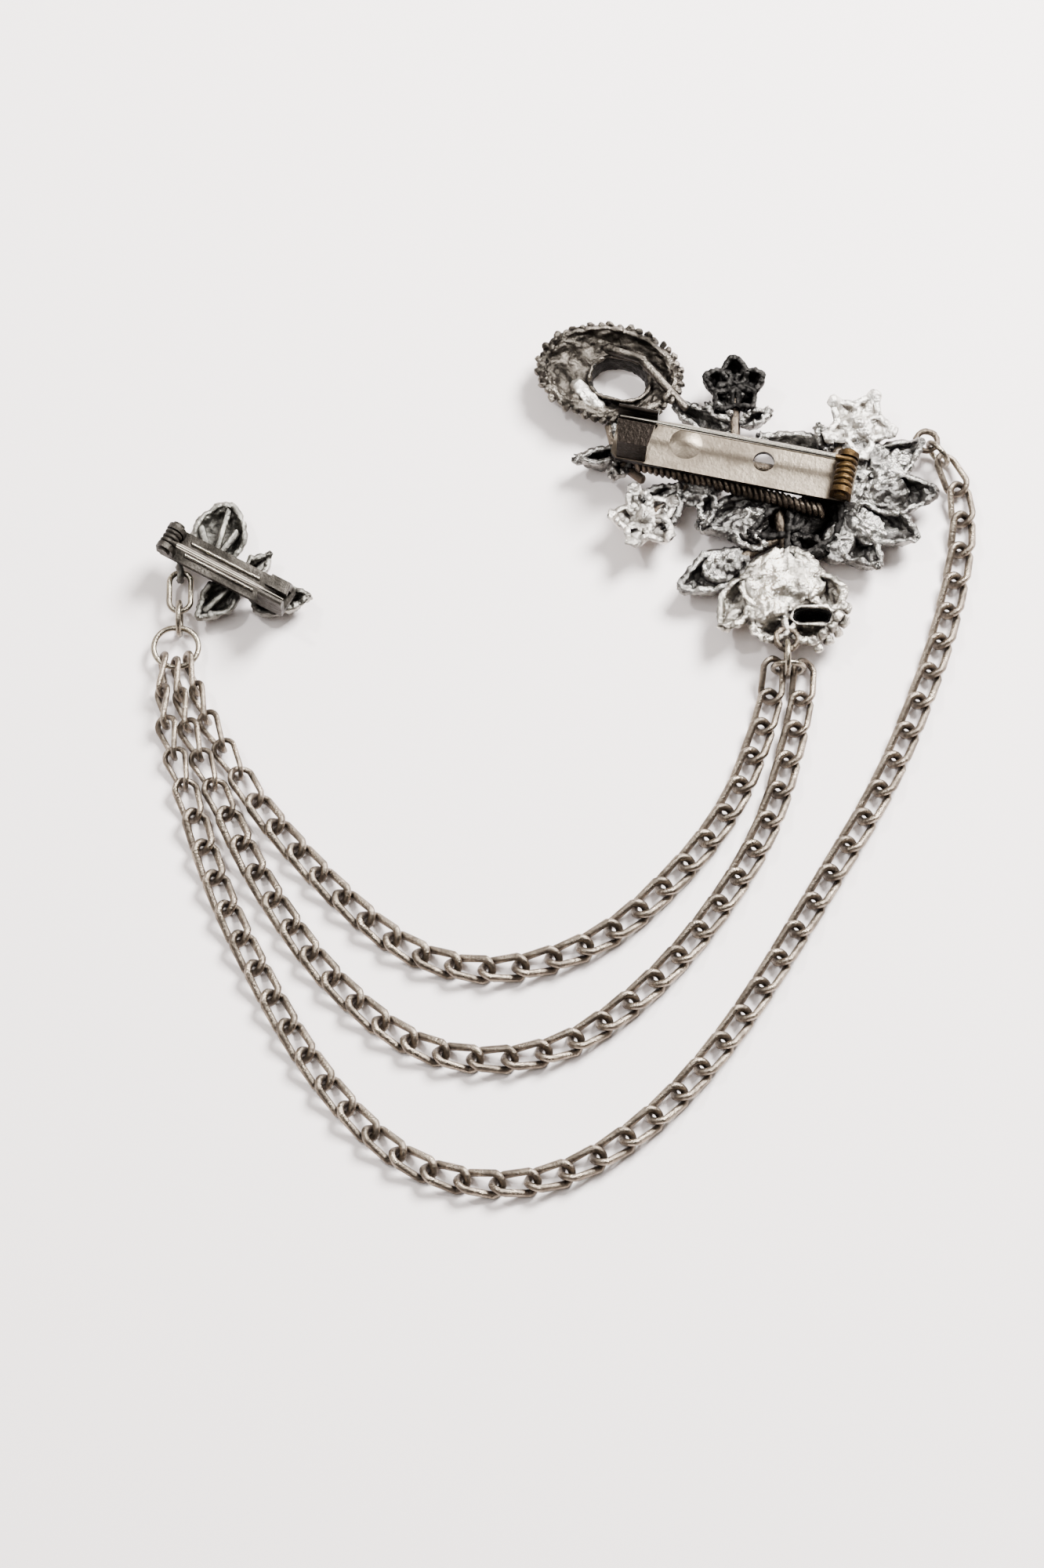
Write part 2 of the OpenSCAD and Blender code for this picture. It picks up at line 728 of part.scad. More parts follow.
// Leaves of the small brooch: x, y, direction, then length and width as shares of fan_l
small_leaves = [
    [-48.6, 26.8, 77, 1, 0.84], [-40.5, 21.6, 4, 0.62, 0.44], [-44, 24.6, 48, 0.57, 0.38],
    [-45, 24.6, 228, 0.86, 0.56], [-43, 22.4, -38, 0.52, 0.34]
];
// Stems of the small brooch and ribs of its petals: x, y of both ends
small_stalks = [
    [[-54, 28.9], [-39.4, 21]], [[-48.3, 27.3], [-46.3, 35]], [[-48.5, 27.2], [-50.2, 32.6]],
    [[-48.2, 27.4], [-45.3, 31.6]], [[-44.9, 23.4], [-41.1, 27.3]],
    [[-45.6, 24], [-49.3, 20.1]], [[-43, 22.8], [-40, 20.4]]
];

module small_spray() {
    color("lightgray") placed() {
        for (i = [0 : len(small_leaves) - 1])
            translate([small_leaves[i][0], small_leaves[i][1], small_rim_z - leaf_step * i])
                rotate(small_leaves[i][2])
                    petal(
                        small_leaves[i][3] * fan_l, small_leaves[i][4] * fan_l,
                        small_depth - leaf_step * i, 0.58
                    );
        for (i = [0 : len(small_stalks) - 1])
            stalk(
                small_stalks[i][0], small_stalks[i][1],
                i == 0 ? small_stalk_z : small_rim_z - 0.3 * small_stalk_d - stalk_step * i,
                i == 0 ? small_stalk_d : 0.55 * small_stalk_d
            );
        eyelet(small_eyelet, [90, 0, 90]);
    }
}

big_spray();
big_bar();
big_rivet();
big_stem();
small_spray();
small_bar();
small_rivet();
small_stem();
outer_ring();
lower_ring();
spreader_ring();
oval_link();
small_ring();
gather_ring();
chain_outer();
chain_middle();
chain_inner();
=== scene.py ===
import json
import math
import random
import bpy
from mathutils import Matrix, Vector

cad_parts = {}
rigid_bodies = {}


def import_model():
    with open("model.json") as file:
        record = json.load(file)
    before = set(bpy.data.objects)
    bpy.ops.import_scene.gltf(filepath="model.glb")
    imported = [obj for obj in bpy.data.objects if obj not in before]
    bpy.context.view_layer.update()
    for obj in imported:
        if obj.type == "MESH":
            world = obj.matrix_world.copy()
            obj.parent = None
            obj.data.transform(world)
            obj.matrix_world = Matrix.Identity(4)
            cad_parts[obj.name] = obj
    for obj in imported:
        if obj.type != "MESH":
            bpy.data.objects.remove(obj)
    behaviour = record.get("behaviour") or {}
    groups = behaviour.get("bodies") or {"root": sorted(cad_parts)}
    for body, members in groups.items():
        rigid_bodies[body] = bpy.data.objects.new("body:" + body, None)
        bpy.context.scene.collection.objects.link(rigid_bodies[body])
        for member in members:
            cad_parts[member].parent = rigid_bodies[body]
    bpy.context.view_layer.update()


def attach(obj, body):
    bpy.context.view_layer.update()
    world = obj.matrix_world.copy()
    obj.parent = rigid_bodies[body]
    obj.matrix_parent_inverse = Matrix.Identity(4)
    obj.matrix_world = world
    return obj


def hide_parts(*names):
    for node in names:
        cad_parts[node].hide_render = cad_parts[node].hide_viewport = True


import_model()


# Table, daylight and camera. The chain lies face down on a pale sheet and is seen steeply from the side of its
# hanging loops. A broad window beyond it on the right gives the light, with a small lamp for the sparkle.
MM = 0.001
view_target = Vector((-6.07, -4.19, 0)) * MM
view_distance, view_elevation = 700 * MM, math.radians(69)


def srgb(text):
    """A hex colour of the screen as the linear colour that the shaders take."""
    parts = [int(text[i:i + 2], 16) / 255 for i in (1, 3, 5)]
    return [p / 12.92 if p <= 0.04045 else ((p + 0.055) / 1.055) ** 2.4 for p in parts] + [1.0]


def add(tree, kind, inputs, **settings):
    """Adds a shader node; an input takes a value, or a (node, output) pair to link to."""
    node = tree.nodes.new("ShaderNode" + kind)
    for name, value in settings.items():
        setattr(node, name, value)
    for name, value in inputs.items():
        if isinstance(value, tuple):
            tree.links.new(value[0].outputs[value[1]], node.inputs[name])
        else:
            node.inputs[name].default_value = value
    return node


def new_material(name):
    """An empty material and its node tree."""
    made = bpy.data.materials.new(name)
    made.use_nodes = True
    made.node_tree.nodes.clear()
    return made, made.node_tree


bpy.ops.object.select_all(action="DESELECT")
bpy.ops.mesh.primitive_plane_add(size=4, location=(0, 0, 0))
table_sheet = bpy.context.object
table_sheet.name = "table_sheet"
# Matt coated paper: an even pale surface that takes soft shadows
paper, tree = new_material("matt_coated_paper")
face = add(tree, "BsdfPrincipled", {"Base Color": srgb("#f8efec"), "Roughness": 0.8})
add(tree, "OutputMaterial", {"Surface": (face, "BSDF")})
table_sheet.data.materials.append(paper)

room = bpy.data.worlds.new("room")
bpy.context.scene.world = room
room.use_nodes = True
tree = room.node_tree
tree.nodes.clear()
# Pale walls on the window's side, a dim room behind the camera
way = add(tree, "TexCoord", {})
axes = add(tree, "SeparateXYZ", {"Vector": (way, "Generated")})
side = add(tree, "MapRange", {"Value": (axes, "Y"), "From Min": -0.45, "From Max": 0.35})
walls = add(tree, "MixRGB", {"Fac": (side, "Result"), "Color1": srgb("#4a4643"), "Color2": srgb("#fff7ef")})
glow = add(tree, "Background", {"Color": (walls, "Color"), "Strength": 0.78})
add(tree, "OutputWorld", {"Surface": (glow, "Background")})
# Each light's name, place and size in millimetres, and power in watts
for name, place, size, power in (
    ("window", (300, 340, 480), 240, 22),
    ("lamp", (-280, 160, 520), 40, 2.0),
    ("ceiling", (-250, -100, 700), 400, 2.4),
):
    light = bpy.data.lights.new(name, "AREA")
    light.size = size * MM
    light.energy = power
    holder = bpy.data.objects.new(name, light)
    bpy.context.collection.objects.link(holder)
    holder.location = Vector(place) * MM
    holder.rotation_euler = (view_target - holder.location).to_track_quat("-Z", "Y").to_euler()

# The lens and the distance frame the piece as the photograph does
camera = bpy.data.objects.new("camera", bpy.data.cameras.new("camera"))
bpy.context.collection.objects.link(camera)
camera.data.lens = 117.2
camera.data.sensor_width = 36
camera.data.clip_start = 0.01
camera.location = view_target + view_distance * Vector((0, -math.cos(view_elevation), math.sin(view_elevation)))
camera.rotation_euler = (math.pi / 2 - view_elevation, 0, 0)
bpy.context.scene.camera = camera


# Curb chain strands. Each link is an oval of drawn brass wire, soldered shut and twisted about its length so that
# the strand lies flat, then silver plated, antiqued dark and rubbed bright on its high places.
link_pitch, link_reach, link_gape = 4.75, 6, 2.8
# All places are in millimetres from one point on the table; this is the whole piece's middle, the model's origin
whole_middle = Vector((0.57, -0.41, 0))
# Routes from the large brooch to the small one in millimetres: x, y and the lift over lying flat
routes = {
    "outer": [
        (53.6, 43.3, 0.9), (55.9, 38.2, 0.1), (55.9, 31.5, 0), (54.8, 25, 0), (52.6, 16.5, 0), (49.6, 8, 0),
        (46, -1, 0), (42, -9, 0), (37.3, -17, 0), (32.3, -25.5, 0), (27.5, -33.5, 0), (22.5, -41, 0),
        (16, -49, 0), (9, -55.4, 0), (1.5, -60, 0), (-6, -62, 0), (-14, -61.5, 0), (-21, -58.6, 0),
        (-27, -53.6, 0), (-32.5, -47, 0), (-37, -40, 0), (-41.3, -32, 0), (-45.2, -24, 0), (-48.3, -16, 0),
        (-50.8, -8, 0), (-53.2, -1, 0), (-54.9, 6, 0), (-55, 13.15, 0),
    ],
    "middle": [
        (33.45, 12.1, 0.6), (33, 7.1, 0), (31.4, 0, 0), (28.8, -9, 0), (25, -17, 0), (19.6, -25.2, 0),
        (14, -32, 0), (8, -37.6, 0), (1, -42.4, 0), (-7, -44.6, 0), (-14.5, -44.3, 0), (-20.5, -42.2, 0),
        (-26, -38.3, 0), (-32.3, -32, 0), (-37.7, -24.5, 0), (-42.2, -17, 0), (-46, -9, 0), (-49.2, -2.2, 0),
        (-51.9, 4.5, 0), (-53.3, 12.4, 0),
    ],
    "inner": [
        (29.2, 12.15, 1.3), (28.7, 7.1, 0.1), (27.2, 2, 0), (24.2, -6, 0), (20, -13, 0), (14, -20, 0),
        (7.5, -26, 0), (0, -30, 0), (-9, -32, 0), (-17, -30.8, 0), (-23.5, -27.3, 0), (-30, -21.5, 0),
        (-36, -15, 0), (-41.3, -8.4, 0), (-45.6, -1.5, 0), (-49.2, 5.2, 0), (-51.6, 13.15, 0),
    ],
}
# Links counted from the gathering ring: roll from on edge to lying flat, twist over the length, and wire
gathered = [(-90, 54, 0.82), (-78, 68, 0.82), (-58, 83, 0.82), (-42, 89, 0.78), (-14, 96, 0.9)]
# The first two links at the large brooch hang in the rings and are thinner; the rest are plain
first_links, first_link, plain_link = 2, (0, 96, 0.95), (0, 108, 1.12)


def antiqued(name, bright, dark, grain, rough, relief, stain, reach=0.8):
    """Metal with bright open places and dark hollows. The hollows are dark partly with patina and partly with painted
    shade, which also darkens the metal where it nears other parts or the table. grain is the size of its surface
    grain and reach the width of a hollow that is painted dark, in millimetres; rough is the shader's roughness,
    relief how deep the grain shows, and stain how much of the surface the dark film covers."""
    made, tree = new_material(name)
    place = add(tree, "TexCoord", {})
    fine = add(tree, "TexNoise", {
        "Vector": (place, "Object"), "Scale": 1 / (grain * MM), "Detail": 5, "Roughness": 0.6,
    })
    broad = add(tree, "TexNoise", {"Vector": (place, "Object"), "Scale": 1 / (7 * grain * MM), "Detail": 3})
    # Ambient occlusion darkens the hollows, the places between parts and the places next to the table: patina in
    # part, painted shade in part
    hollow = add(tree, "AmbientOcclusion", {"Distance": reach * MM}, samples=6)
    patina_and_painted_shade = add(tree, "MapRange", {"Value": (hollow, "AO"), "From Min": 0.45, "From Max": 0.95})
    film = add(tree, "MapRange", {
        "Value": (broad, "Fac"), "From Min": 0.38, "From Max": 0.6, "To Min": 1 - stain, "To Max": 1,
    })
    film_patina_and_shade = add(tree, "Math", {0: (patina_and_painted_shade, "Result"), 1: (film, "Result")}, operation="MULTIPLY")
    speckled = add(tree, "MixRGB", {"Fac": 0.3, "Color1": (film_patina_and_shade, "Value"), "Color2": (fine, "Fac")})
    tint = add(tree, "MixRGB", {"Fac": (speckled, "Color"), "Color1": srgb(dark), "Color2": srgb(bright)})
    dull = add(tree, "MapRange", {
        "Value": (speckled, "Color"), "From Min": 0, "From Max": 1,
        "To Min": min(1.8 * rough, 0.8), "To Max": 0.8 * rough,
    })
    rise = add(tree, "Bump", {"Height": (fine, "Fac"), "Strength": relief, "Distance": 0.5 * grain * MM})
    face = add(tree, "BsdfPrincipled", {
        "Base Color": (tint, "Color"), "Metallic": 1, "Roughness": (dull, "Result"), "Normal": (rise, "Normal"),
    })
    add(tree, "OutputMaterial", {"Surface": (face, "BSDF")})
    return made


def deselect():
    """Leaves edit mode and deselects everything, so that the next tool meets nothing else."""
    if bpy.context.object and bpy.context.object.mode == "EDIT":
        bpy.ops.object.mode_set(mode="OBJECT")
    bpy.ops.object.select_all(action="DESELECT")


def pick(piece, where):
    """Goes into edit mode with those vertices selected whose place in millimetres passes where."""
    deselect()
    piece.select_set(True)
    bpy.context.view_layer.objects.active = piece
    bpy.ops.object.mode_set(mode="EDIT")
    bpy.ops.mesh.select_mode(type="VERT")
    bpy.ops.mesh.select_all(action="DESELECT")
    bpy.ops.object.mode_set(mode="OBJECT")
    for v in piece.data.vertices:
        v.select = where(v.co / MM)
    bpy.ops.object.mode_set(mode="EDIT")


def modify(piece, kind, **settings):
    """Adds a modifier and applies it."""
    deselect()
    piece.select_set(True)
    bpy.context.view_layer.objects.active = piece
    one = piece.modifiers.new(kind.lower(), kind)
    for name, value in settings.items():
        setattr(one, name, value)
    bpy.ops.object.modifier_apply(modifier=one.name)


def place_copy(shape, matrix):
    """A copy of a shape with its own mesh, moved to its place there; the matrix is in millimetres."""
    copy = shape.copy()
    copy.data = shape.data.copy()
    bpy.context.collection.objects.link(copy)
    copy.data.transform(Matrix.Scale(MM, 4) @ matrix @ Matrix.Scale(1 / MM, 4))
    return copy


def join(name, parts):
    """Makes one piece of several parts and names it."""
    deselect()
    for part in parts:
        part.select_set(True)
    bpy.context.view_layer.objects.active = parts[0]
    if len(parts) > 1:
        bpy.ops.object.join()
    parts[0].name = parts[0].data.name = name
    deselect()
    return parts[0]


def finish(piece, material, nodes=()):
    """Gives a piece its material, its body and the nodes that it stands for."""
    piece.data.materials.clear()
    piece.data.materials.append(material)
    for face in piece.data.polygons:
        face.material_index = 0
    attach(piece, "piece")
    if nodes:
        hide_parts(*nodes)


def wire_oval(name, length, width, wire, turn, round_segments=28, wire_segments=10):
    """An oval of round wire with straight sides along X, twisted about X by turn degrees over its length."""
    deselect()
    bend = (width - wire) / 2
    bpy.ops.mesh.primitive_torus_add(
        major_segments=round_segments, minor_segments=wire_segments,
        major_radius=bend * MM, minor_radius=wire / 2 * MM,
    )
    oval = bpy.context.object
    oval.name = name
    for side in (-1, 1):
        pick(oval, lambda p: p.x * side > 0)
        bpy.ops.transform.translate(value=(side * (length - width) / 2 * MM, 0, 0))
    bpy.ops.object.mode_set(mode="OBJECT")
    if turn:
        modify(oval, "SIMPLE_DEFORM", deform_method="TWIST", deform_axis="X", angle=math.radians(turn))
    bpy.ops.object.shade_smooth()
    return oval


def smooth_route(points, steps=8):
    """A smooth line through the points of a route, in short steps."""
    last, out = len(points) - 1, []
    for i in range(last):
        a, b, c, d = (Vector(points[k]) for k in (max(i - 1, 0), i, i + 1, min(i + 2, last)))
        for t in (k / steps for k in range(steps)):
            out.append(0.5 * (
                2 * b + (c - a) * t + (2 * a - 5 * b + 4 * c - d) * t ** 2 + (3 * b - a - 3 * c + d) * t ** 3
            ))
    return out + [Vector(points[-1])]


def along(points, distance):
    """The place on a line at a distance from its start."""
    for a, b in zip(points, points[1:]):
        step = (b - a).length
        if distance <= step:
            return a.lerp(b, distance / step)
        distance -= step
    return points[-1]


def frame_at(at, run, roll=0):
    """The frame at a place: X along run, Y flat on the table and rolled about it by roll degrees."""
    run = run.normalized()
    flat = Vector((0, 0, 1)).cross(run).normalized()
    up = run.cross(flat)
    c, s = math.cos(math.radians(roll)), math.sin(math.radians(roll))
    rolled = Matrix((run, c * flat + s * up, c * up - s * flat)).transposed().to_4x4()
    return Matrix.Translation(at - whole_middle) @ rolled


link_shapes = {}
for kind in gathered + [first_link, plain_link]:
    twist, wire = kind[1:]
    link_shapes[kind] = wire_oval("link", link_reach + 1.1 * wire, link_gape + 1.25 * wire, wire, twist)
# Antiqued silver plate over brass: warm grey, nearly black in the crooks of the links with patina and painted shade,
# rubbed bright outside
chain_plate = antiqued("antiqued_silver_plate", "#9d9081", "#211a14", 0.35, 0.26, 0.8, 0.7, 1.1)
for strand, points in routes.items():
    line = smooth_route(points)
    total = sum((b - a).length for a, b in zip(line, line[1:]))
    count = math.ceil(total / link_pitch)
    links = []
    for i in range(count):
        start, end = along(line, i * total / count), along(line, (i + 1) * total / count)
        from_ring = count - 1 - i
        kind = plain_link
        if i < first_links:
            kind = first_link
        elif from_ring < len(gathered):
            kind = gathered[from_ring]
        at = (start + end) / 2
        at.z = max(at.z, 0)
        spot = frame_at(at, end - start, kind[0])
        # Each link is lifted by what one of its roll needs to rest on the table when it runs level
        level = frame_at(at, (end - start) * Vector((1, 1, 0)), kind[0]).to_3x3()
        low = min((level @ (v.co / MM)).z for v in link_shapes[kind].data.vertices)
        links.append(place_copy(link_shapes[kind], Matrix.Translation((0, 0, -low)) @ spot))
    finish(join("strand_" + strand, links), chain_plate, ["chain_" + strand])
for shape in link_shapes.values():
    bpy.data.objects.remove(shape)


# Jump rings and oval links. They are bent from half-hard wire, closed by hand and plated with the chain, so they
# are a little brighter than it.
ring_wire, eyelet_wire, eyelet_r, ring_gap = 0.8, 0.9, 1.5, 0.12
# How far a hanging ring's wire stays from the middle of the eyelet's
hang = (ring_wire + eyelet_wire) / 2 + ring_gap
side_eyelet, lower_eyelet, small_eyelet = (Vector(p) for p in ((51.2, 45.7, 3), (31, 15, 4.6), (-52.9, 26.3, 2.6)))
# The side ring leans away from its eyelet and hangs a little lower
side_run, side_bend, side_drop = Matrix.Rotation(math.radians(-48), 3, "Z") @ Vector((1, 0, 0)), 1.9, 0.4
side_reach = eyelet_r - hang + math.sqrt(side_bend ** 2 - side_drop ** 2) - 0.07
# Name, middle, direction, roll from lying flat to upright, length and width over the wire
rings = [
    ("outer_ring", side_eyelet + side_reach * side_run - Vector((0, 0, side_drop)), side_run, 90, 4.6, 4.6),
    ("lower_ring", lower_eyelet - Vector((0, eyelet_r - hang + 2.2, 0)), Vector((0, 1, 0)), 90, 5.2, 5.2),
    ("spreader_ring", lower_eyelet + Vector((0.2, -3.4, -2.1)), Vector((1, 0, 0)), 90, 5, 5),
    ("oval_link", small_eyelet - Vector((0, eyelet_r - hang + 2.85, 0)), Vector((0, 1, 0)), 0, 6.6, 3.8),
    ("small_ring", Vector((-52.9, 18.86, 2.65)), Vector((0, 1, 0)), 90, 5.3, 5.3),
    ("gather_ring", Vector((-53.3, 14.85, 2)), Vector((1, 0, 0)), 0, 7, 6.6),
]


def put(shape, spots):
    """Copies of one shape at each of the spots; the shape itself goes."""
    copies = [place_copy(shape, spot) for spot in spots]
    bpy.data.objects.remove(shape)
    return copies


# Silver plate worn by handling: a little brighter than the chain, with hardly any dark left
ring_plate = antiqued("hand_closed_ring_plate", "#a39989", "#1f1812", 0.35, 0.22, 0.5, 0.5)
for name, middle, run, roll, length, width in rings:
    ring = put(wire_oval(name, length, width, ring_wire, 0, 48, 12), [frame_at(middle, run, roll)])
    finish(join(name + "_wire", ring), ring_plate, [name])


# Flowers of the large brooch. They are cast in white metal with the stems, hollow at the back, and silver plated.
# The backs stay rough from the mould: bright grainy skin on the rims, near black in the hollows with patina and
# painted shade.
rim_z = 5
hammered, crumpled = (bpy.data.textures.new(name, "CLOUDS") for name in ("hammered", "crumpled"))
# The grain of the mould and the larger dents of the thin walls
hammered.noise_scale, hammered.noise_depth = 0.8 * MM, 2
crumpled.noise_scale, crumpled.noise_depth = 2.4 * MM, 2
# Seeded, so that the petals come out the same every time
random.seed(5)


def cup(length, width, depth, thick, tip=0.85, rib=0.0, levels=2):
    """A cupped petal along X, hollow side up with its rim at height 0, drawn in to its tip and ribbed."""
    deselect()
    bpy.ops.mesh.primitive_uv_sphere_add(
        segments=16, ring_count=10, radius=length / 2 * MM, rotation=(0, math.pi / 2, 0)
    )
    petal = bpy.context.object
    bpy.ops.object.transform_apply(location=False, rotation=True)
    bpy.ops.object.mode_set(mode="EDIT")
    bpy.ops.mesh.select_all(action="SELECT")
    bpy.ops.transform.resize(value=(1, width / length, 2 * depth / length), center_override=(0, 0, 0))
    bpy.ops.mesh.bisect(plane_co=(0, 0, 0), plane_no=(0, 0, 1), clear_outer=True, threshold=1e-6)
    bpy.ops.mesh.select_all(action="SELECT")
    bpy.ops.transform.translate(value=(length / 2 * MM, 0, 0))
    for share in (0.55, 0.72, 0.88):
        pick(petal, lambda p: p.x > share * length)
        bpy.ops.transform.resize(value=(1, tip, 1), center_override=(0, 0, 0))
    pick(petal, lambda p: abs(p.y) < 0.1 * width and p.z < -0.3 * depth)
    bpy.ops.transform.translate(value=(0, 0, rib * MM))
    bpy.ops.object.mode_set(mode="OBJECT")
    modify(petal, "SUBSURF", levels=levels, render_levels=levels)
    modify(petal, "SOLIDIFY", thickness=thick * MM, offset=-1)
    return petal


def ball(size, stretch=(1, 1, 1), levels=0):
    """A cast bead or lump about the origin, stretched along its axes."""
    deselect()
    bpy.ops.mesh.primitive_uv_sphere_add(segments=14, ring_count=8, radius=size / 2 * MM)
    lump = bpy.context.object
    bpy.ops.object.mode_set(mode="EDIT")
    bpy.ops.mesh.select_all(action="SELECT")
    bpy.ops.transform.resize(value=stretch, center_override=(0, 0, 0))
    bpy.ops.object.mode_set(mode="OBJECT")
    if levels:
        modify(lump, "SUBSURF", levels=levels, render_levels=levels)
    return lump


def turned(at, turn=0.0):
    """A place on the castings: moved to at and turned about Z."""
    return Matrix.Translation(Vector(at) - whole_middle) @ Matrix.Rotation(math.radians(turn), 4, "Z")


def ring_of_petals(at, first, count, petal, spread=3):
    """Copies of one petal round a middle, each turned and grown a little by chance."""
    return put(petal, [
        turned(at, first + 360 / count * i + random.uniform(-spread, spread))
        @ Matrix.Scale(random.uniform(0.93, 1), 4)
        for i in range(count)
    ])


def roughen(piece, depth, crumple=0.1):
    """Gives a casting the uneven skin of its mould, its walls crumpled up and down, and smooth shading."""
    modify(piece, "DISPLACE", texture=hammered, texture_coords="GLOBAL", strength=depth * MM, mid_level=0.5)
    modify(
        piece, "DISPLACE", texture=crumpled, texture_coords="GLOBAL", direction="Z", strength=crumple * MM,
        mid_level=0.6,
    )
    piece.data.shade_smooth()
    return piece


# Matt silver plate, hardly worn: nearly white, with pale grey hollows
frosted = antiqued("frosted_silver_plate", "#fffaf2", "#6e675d", 0.6, 0.34, 1, 0.35, 1.2)
# White metal that the antiquing bath has blackened all over and nobody has rubbed: dull black with grey ridges.
# The same black is painted shade on the leaves in the hollow by the rose and on the walls inside the two openings.
blackened_and_shade = antiqued("blackened_metal_and_painted_shade", "#3a3836", "#080707", 0.6, 0.4, 1, 0.6, 2)
dark_at, star_at, lower_at = Vector((24.4, 53.6, rim_z)), Vector((41.6, 47.5, rim_z)), Vector((11.5, 33.3, rim_z))
down = Vector((0, 0, -1))
deeper = 0.7 * down
parts = ring_of_petals(dark_at, 90, 5, cup(4.8, 4.4, 2.9, 0.7, 0.88, 0.8))
parts += ring_of_petals(dark_at + deeper, 54, 5, cup(3.4, 2.9, 1.6, 0.6, 0.8))
parts += put(ball(2.6, (1, 1, 0.8)), [turned(dark_at + 2 * deeper)])
finish(roughen(join("dark_flower", parts), 0.7, 2), blackened_and_shade, ["big_spray"])
parts = ring_of_petals(star_at, 60, 5, cup(5.8, 4.6, 2, 0.9, 0.8, 0.9))
parts += ring_of_petals(star_at + 0.5 * deeper, 24, 5, cup(3.6, 2.8, 1.2, 0.6, 0.8, 0.5))
parts += put(ball(5, (1, 1, 0.45), 2), [turned(star_at + deeper)])
finish(roughen(join("star_flower", parts), 0.5, 1.6), frosted, ["big_spray"])
parts = ring_of_petals(lower_at, 105, 5, cup(5.2, 4.4, 2.2, 0.9, 0.92, 1))
parts += put(ball(4.6, (1, 1, 0.5), 2), [turned(lower_at + deeper)])
# The frosted plate with painted shade deep in it, for the shadow the lower flower lies in: white rims round dark
# hollows
shaded = antiqued("rim_bright_silver_plate", "#fff8ee", "#1d1813", 0.6, 0.3, 1, 0.6, 1.8)
finish(roughen(join("lower_flower", parts), 0.5, 2), shaded, ["big_spray"])


# Rose of the large brooch. Crumpled petals stand round a grainy mound that filled the mould; an oval opening is
# pierced through beside it, with a turned-up rim, and small claws run along the outer edge.
rose_at, rose_r = Vector((31.8, 21, rim_z)), 8.2
opening_at, opening_r, opening_flat = rose_at + rose_r * Vector((0.33, -0.32, 0)), 0.37 * rose_r, 0.5
opening_middle = opening_at - whole_middle


def oval_tube(middle, radius, flat, depth, sides, ends="NGON"):
    """An upright tube about its middle, flattened to an oval along Y."""
    deselect()
    bpy.ops.mesh.primitive_cylinder_add(
        vertices=sides, radius=radius * MM, depth=depth * MM, end_fill_type=ends, location=middle * MM
    )
    tube = bpy.context.object
    bpy.ops.object.transform_apply(location=True, rotation=False)
    bpy.ops.object.mode_set(mode="EDIT")
    bpy.ops.mesh.select_all(action="SELECT")
    bpy.ops.transform.resize(value=(1, flat, 1), center_override=middle * MM)
    bpy.ops.object.mode_set(mode="OBJECT")
    return tube


def oval_wall(middle, radius, flat, depth, sides, foot):
    """The thick wall of an opening, drawn in by foot at its lower edge."""
    wall = oval_tube(middle, radius, flat, depth, sides, "NOTHING")
    pick(wall, lambda p: p.z < middle.z)
    bpy.ops.transform.resize(value=foot, center_override=middle * MM)
    bpy.ops.object.mode_set(mode="OBJECT")
    modify(wall, "SOLIDIFY", thickness=0.5 * MM, offset=0)
    modify(wall, "SUBSURF", levels=2, render_levels=2)
    return wall


outer_petals = ring_of_petals(rose_at, 11, 5, cup(rose_r, 0.95 * rose_r, 3.9, 0.9, 0.96, 0.9))
inner_petals = ring_of_petals(
    rose_at + Vector((0, 0, 0.1)), 47, 5, cup(0.62 * rose_r, 0.6 * rose_r, 2.6, 0.8, 0.95, 0.8)
)
mounds = put(ball(12.6, (1, 0.84, 0.3), 2), [turned(rose_at + Vector((-1, 2.9, -1)), 15)])
mounds += put(ball(7, (1, 0.8, 0.5), 2), [turned(rose_at + Vector((-3.8, -1.2, -1.1)), 60)])
punch = oval_tube(opening_middle, opening_r, opening_flat, 4 * rim_z, 32)
for part in outer_petals + inner_petals + mounds:
    modify(part, "BOOLEAN", object=punch, operation="DIFFERENCE", solver="EXACT")
bpy.data.objects.remove(punch)
rim = put(wire_oval("opening_rim", 0.76 * rose_r, 0.39 * rose_r, 0.5, 0, 40, 8), [turned(opening_at)])
wall = oval_wall(opening_middle + 2 * down, opening_r, opening_flat, 3.6, 32, (0.9, 0.7, 1))
# A second wall inside the first, painted black as the shade down the opening, closes in towards the front
shrunk = turned(opening_at) @ Matrix.Diagonal((0.86, 0.8, 0.95, 1)) @ turned(opening_at).inverted()
painted_shade_lining = place_copy(wall, shrunk)
pick(painted_shade_lining, lambda p: p.z < rim_z - 2.2)
bpy.ops.transform.resize(value=(0.7, 0.5, 1), center_override=opening_middle * MM)
bpy.ops.object.mode_set(mode="OBJECT")
claws = []
for turn in range(-63, -3, 13):
    edge = rose_at + 0.95 * rose_r * Vector((math.cos(math.radians(turn)), math.sin(math.radians(turn)), 0))
    claws += [turned(edge - Vector((0, 0, 0.6))), turned(edge + Vector((-0.8, 0.5, 0)))]
# A frilled petal of the rose lies against its left side
frill = put(cup(9.8, 6, 3, 0.8, 0.9, 1.1), [turned((27, 24.6, rim_z), 239)])
rose = outer_petals + inner_petals + mounds + rim + [wall] + frill + put(ball(1.5), claws)
# Bright silvered white metal, grainy from the mould, with near-black creases
silvered = antiqued("silvered_white_metal", "#faf2e5", "#1b1611", 0.5, 0.22, 1, 0.7, 2.4)
finish(roughen(join("rose", rose), 1, 2), silvered, ["big_spray"])
# The opening's lining is black as painted shade inside the opening
finish(roughen(join("opening_lining", [painted_shade_lining]), 0.3), blackened_and_shade, ["big_spray"])


# Looped leaf of the large brooch. It is a broad cupped leaf cast open round a window, with a milled bead along
# its outer edge and a bright raised vein that runs down to the stems.
loop_at, loop_turn, loop_l, loop_w = Vector((6.8, 55.6, rim_z)), -10, 10.2, 7.4
window_at, window_r, window_flat = Vector((0.15 * loop_l, -0.3, 0)), 0.43 * loop_l, 1.1 * loop_w / loop_l


